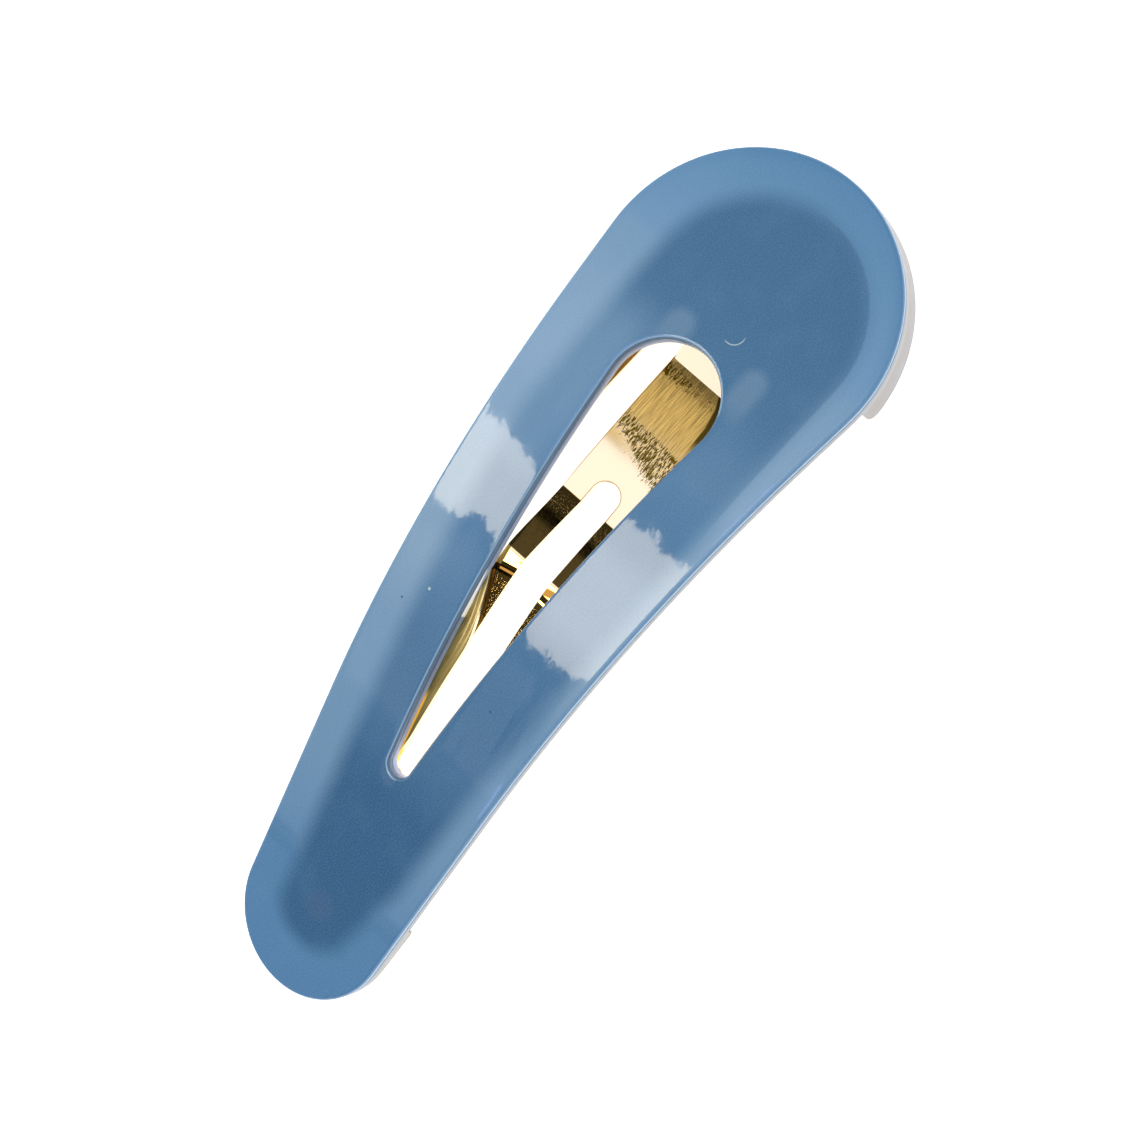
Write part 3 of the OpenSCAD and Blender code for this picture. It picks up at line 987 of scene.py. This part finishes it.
def straight(points, u):
    for (u0, d0), (u1, d1) in zip(points, points[1:]):
        if u >= u1:
            return lerp(d0, d1, (u0 - u) / (u0 - u1))
    return points[-1][1]


def tongue_depth(u):
    if u > BLADE_LINE[0][0]:
        return straight(((TONGUE_ROOT, FRAME_WIDE_DEPTH - ROOT_RISE), BLADE_LINE[0]), u)
    if u > CRIMP_LINE[0][0]:
        return through(BLADE_LINE, u)
    if u > CRIMP_LINE[-1][0]:
        return straight(CRIMP_LINE, u)
    return CRIMP_LINE[-1][1] + PRONG_SAG * min(CRIMP_LINE[-1][0] - u, PRONG_SAG_RUN)


def tongue_half(u):
    """Half width of the tongue, from its root over the blade to the round tip of its prongs."""
    if u > BLADE_LINE[0][0]:
        share = (u - BLADE_LINE[0][0]) / (TONGUE_ROOT - BLADE_LINE[0][0])
        return lerp(BLADE_HALF, ROOT_HALF, share)
    if u > FORK_U:
        return BLADE_HALF - WAIST * math.sin(math.pi * min((u - FORK_U) / WAIST_RUN, 1)) ** 2
    if u > TIP_START:
        return lerp(PRONG_HALF, BLADE_HALF, (u - TIP_START) / (FORK_U - TIP_START))
    return math.sqrt(max(PRONG_HALF ** 2 - (TIP_START - u) ** 2, 0))


def slot_half(u):
    if u > SLOT_WIDE[0]:
        return math.sqrt(max(SLOT_WIDE[1] ** 2 - (u - SLOT_WIDE[0]) ** 2, 0))
    if u < SLOT_NARROW[0]:
        return math.sqrt(max(SLOT_NARROW[1] ** 2 - (u - SLOT_NARROW[0]) ** 2, 0))
    return eased(u, 0, SLOT_WIDE[0], SLOT_NARROW[1], SLOT_WIDE[1])


def tongue_places():
    """Places of the rows along the tongue, close together at its creases and round ends."""
    slot_top, slot_bottom = SLOT_WIDE[0] + SLOT_WIDE[1], SLOT_NARROW[0] - SLOT_NARROW[1]
    places = span(TONGUE_ROOT, slot_top, 30) + round_places(SLOT_WIDE[0], slot_top, 8)
    places += span(SLOT_WIDE[0], SLOT_NARROW[0], 60) + round_places(SLOT_NARROW[0], slot_bottom, 8)
    places += span(slot_bottom, TIP_START, 4) + round_places(TIP_START, TONGUE_TIP, 9)
    for crease, _ in BLADE_LINE[:1] + CRIMP_LINE:
        places += [crease + off for off in (-0.2, -0.12, -0.06, -0.03, 0.0, 0.03, 0.06, 0.12, 0.2)]
    return sorted({round(u, 4) for u in places}, reverse=True)


def tongue_row(u, way):
    """Row across one half of the tongue; the far half's crimp lies a little askew."""
    closed = u >= SLOT_WIDE[0] + SLOT_WIDE[1] or u <= SLOT_NARROW[0] - SLOT_NARROW[1]
    inner = 0 if closed else slot_half(u)
    depth = sum(tongue_depth(u + off) for off in (-0.06, -0.03, 0.0, 0.03, 0.06)) / 5
    row = sheet_row(u, way * inner, way * tongue_half(u), depth)
    askew = eased(u, 0.1, 0.9, 0.22, 0) * eased(u, -2.5, -0.8, 0, 1)
    return [(x + askew * (PRONG_HALF - y) if y > 0 else x, y, z) for x, y, z in row]


def tongue_shape():
    shape = Shape()
    for way in (1, -1):
        shape.loft([tongue_row(u, way) for u in tongue_places()], flip=way > 0)
    return shape


def rivet_shape():
    depth = FRAME_NARROW_DEPTH
    head = depth + STEEL_T + 0.03
    section = [(0, depth), (1, depth), (1, head), (1.6, head), (1.7, head + 0.08),
               (1.55, head + 0.22), (1.1, head + 0.31), (0.5, head + 0.35), (0, head + 0.35)]
    angles = span(0, 2 * math.pi, RIVET_SIDES)[:-1]
    rows = [[(RIVET_U + r * math.cos(a), r * math.sin(a), -d) for a in angles]
            for r, d in section]
    return Shape().loft(rows, ring=True)


def edge_insets(mesh):
    """Keeps each point's distance from the outline and from the window."""
    attribute = mesh.attributes.new("edges", "FLOAT_VECTOR", "POINT")
    for vertex, value in zip(mesh.vertices, attribute.data):
        u, v, _ = vertex.co
        value.vector = (drop_inset(u, v, OUTLINE), -drop_inset(u, v, WINDOW), 0)


def piece(name, mesh, tree, finish, thickness=0.0):
    """Arches a flat mesh into a finished piece, thickened downwards if it is a sheet."""
    edge_insets(mesh)
    made = bpy.data.objects.new(name, mesh)
    bpy.context.scene.collection.objects.link(made)
    arch = made.modifiers.new("arch", "NODES")
    arch.node_group = tree
    for socket in tree.interface.items_tree:
        if socket.in_out == "INPUT" and socket.name == "Material":
            arch[socket.identifier] = finish
    if thickness:
        thick = made.modifiers.new("thickness", "SOLIDIFY")
        thick.thickness = thickness * MM
        thick.offset = -1
        thick.use_even_offset = True
        edge = made.modifiers.new("stamped edge", "BEVEL")
        edge.width = STAMPED_R * MM
        edge.segments = 2
        edge.limit_method = "ANGLE"
        edge.angle_limit = STAMPED_ANGLE
    graph = bpy.context.evaluated_depsgraph_get()
    shown = made.evaluated_get(graph)
    solid = bpy.data.meshes.new_from_object(shown, preserve_all_data_layers=True, depsgraph=graph)
    made.modifiers.clear()
    made.data = solid
    solid.shade_smooth()
    solid.set_sharp_from_angle(angle=SHARP_STEEL if thickness else SHARP_PLASTIC)
    return made


def build_clip():
    tree = arch_tree()
    pieces = (("face", "cover", "clip", cover_shape(), face_finish(), 0.0),
              ("moulded_backing", "backing", "clip", backing_shape(), backing_finish(), 0.0),
              ("steel_frame", "frame", "clip", frame_shape(), leg_finish(), STEEL_T),
              ("forked_tongue", "tongue", "tongue", tongue_shape(), tongue_finish(), STEEL_T),
              ("rivet_head", "rivet", "clip", rivet_shape(), rivet_finish(), 0.0))
    for name, node, body, shape, finish, thickness in pieces:
        made = piece(name, shape.mesh(name, closed=not thickness), tree, finish, thickness)
        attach(made, body)
        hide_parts(node)


# The studio


def build_table():
    bpy.ops.mesh.primitive_plane_add(size=6.0, location=(0, 0, -0.00002))
    table = bpy.context.active_object
    table.name = "table"
    table.data.materials.append(table_finish())


# Colours of the lights. Glint is seen only in reflections, where it turns gilt to cream.
WARM = (1.0, 0.88, 0.7)
WHITE = (1.0, 1.0, 1.0)
GLINT = (0.284, 0.368, 1.0)
SKY = (0.75, 0.95, 1.0)

# Panels of light: name, reach along the clip and across it in metres, soft edge, radiance, colour
PANEL_HEIGHT = 0.7
PANELS = (("main softbox", (-0.238, -0.026), (0.05, 0.55), 0.0, 8.4, WARM),
          ("blade light", (0.020, 0.151), (0.0, 0.20), 0.002, 4.4, GLINT),
          ("ground light", (0.153, 0.240), (0.0, 0.20), 0.001, 0.85, WHITE),
          ("bend light", (-0.72, -0.56), (0.17, 0.25), 0.0, 4.4, GLINT),
          ("edge light", (0.06, 0.45), (0.25, 0.34), 0.01, 0.35, WHITE),
          ("dim fill", (-0.64, -0.28), (0.25, 0.44), 0.01, 0.5, WHITE))
OVERHEAD = ("overhead fill", (-0.9, 0.9), (-0.9, 0.9), 0.0, 0.62, SKY)


def build_panel(name, along, across, soft, radiance, tint, shine=True):
    """Level panel of light over the clip; a soft edge is three panels of growing size."""
    grows = (-soft, 0.0, soft) if soft else (0.0,)
    for step, grow in enumerate(grows):
        data = bpy.data.lights.new(name, "AREA")
        data.shape = "RECTANGLE"
        data.size = along[1] - along[0] + 2 * grow
        data.size_y = across[1] - across[0] + 2 * grow
        data.energy = radiance / len(grows) * math.pi * data.size * data.size_y
        data.color = tint
        light = bpy.data.objects.new(name, data)
        light.location = (sum(along) / 2, sum(across) / 2, PANEL_HEIGHT + step * MM)
        light.visible_camera = False
        light.visible_glossy = shine
        light.visible_diffuse = tint is not GLINT
        bpy.context.scene.collection.objects.link(light)


def build_lights():
    for panel in PANELS:
        build_panel(*panel)
    build_panel(*OVERHEAD, shine=False)
    world = bpy.data.worlds.new("dim studio")
    world.use_nodes = True
    background = world.node_tree.nodes["Background"]
    background.inputs["Color"].default_value = (0.035, 0.035, 0.037, 1)
    bpy.context.scene.world = world


CAMERA_TARGET = Vector((-0.000169, 0, 0.008851))
CAMERA_BACK = Vector((0.2076, -0.390, 0.8972))
CAMERA_UP = Vector((0.7873, 0.6115, 0.0831))
CAMERA_DISTANCE = 0.6
CAMERA_LENS = 273.17
CAMERA_SHIFT = (0.0495, 0.0052)


def build_camera():
    """Camera at the photograph's viewing angle."""
    back = CAMERA_BACK.normalized()
    right = CAMERA_UP.cross(back).normalized()
    up = back.cross(right)
    place = CAMERA_TARGET + back * CAMERA_DISTANCE
    data = bpy.data.cameras.new("camera")
    data.lens = CAMERA_LENS
    data.sensor_width = 36
    data.shift_x, data.shift_y = CAMERA_SHIFT
    data.clip_start = 0.01
    camera = bpy.data.objects.new("camera", data)
    turn = Matrix([(*right, 0), (*up, 0), (*back, 0), (*place, 1)])
    camera.matrix_world = turn.transposed()
    bpy.context.scene.collection.objects.link(camera)
    bpy.context.scene.camera = camera


build_clip()
build_table()
build_lights()
build_camera()
bpy.context.scene.view_settings.view_transform = "Standard"
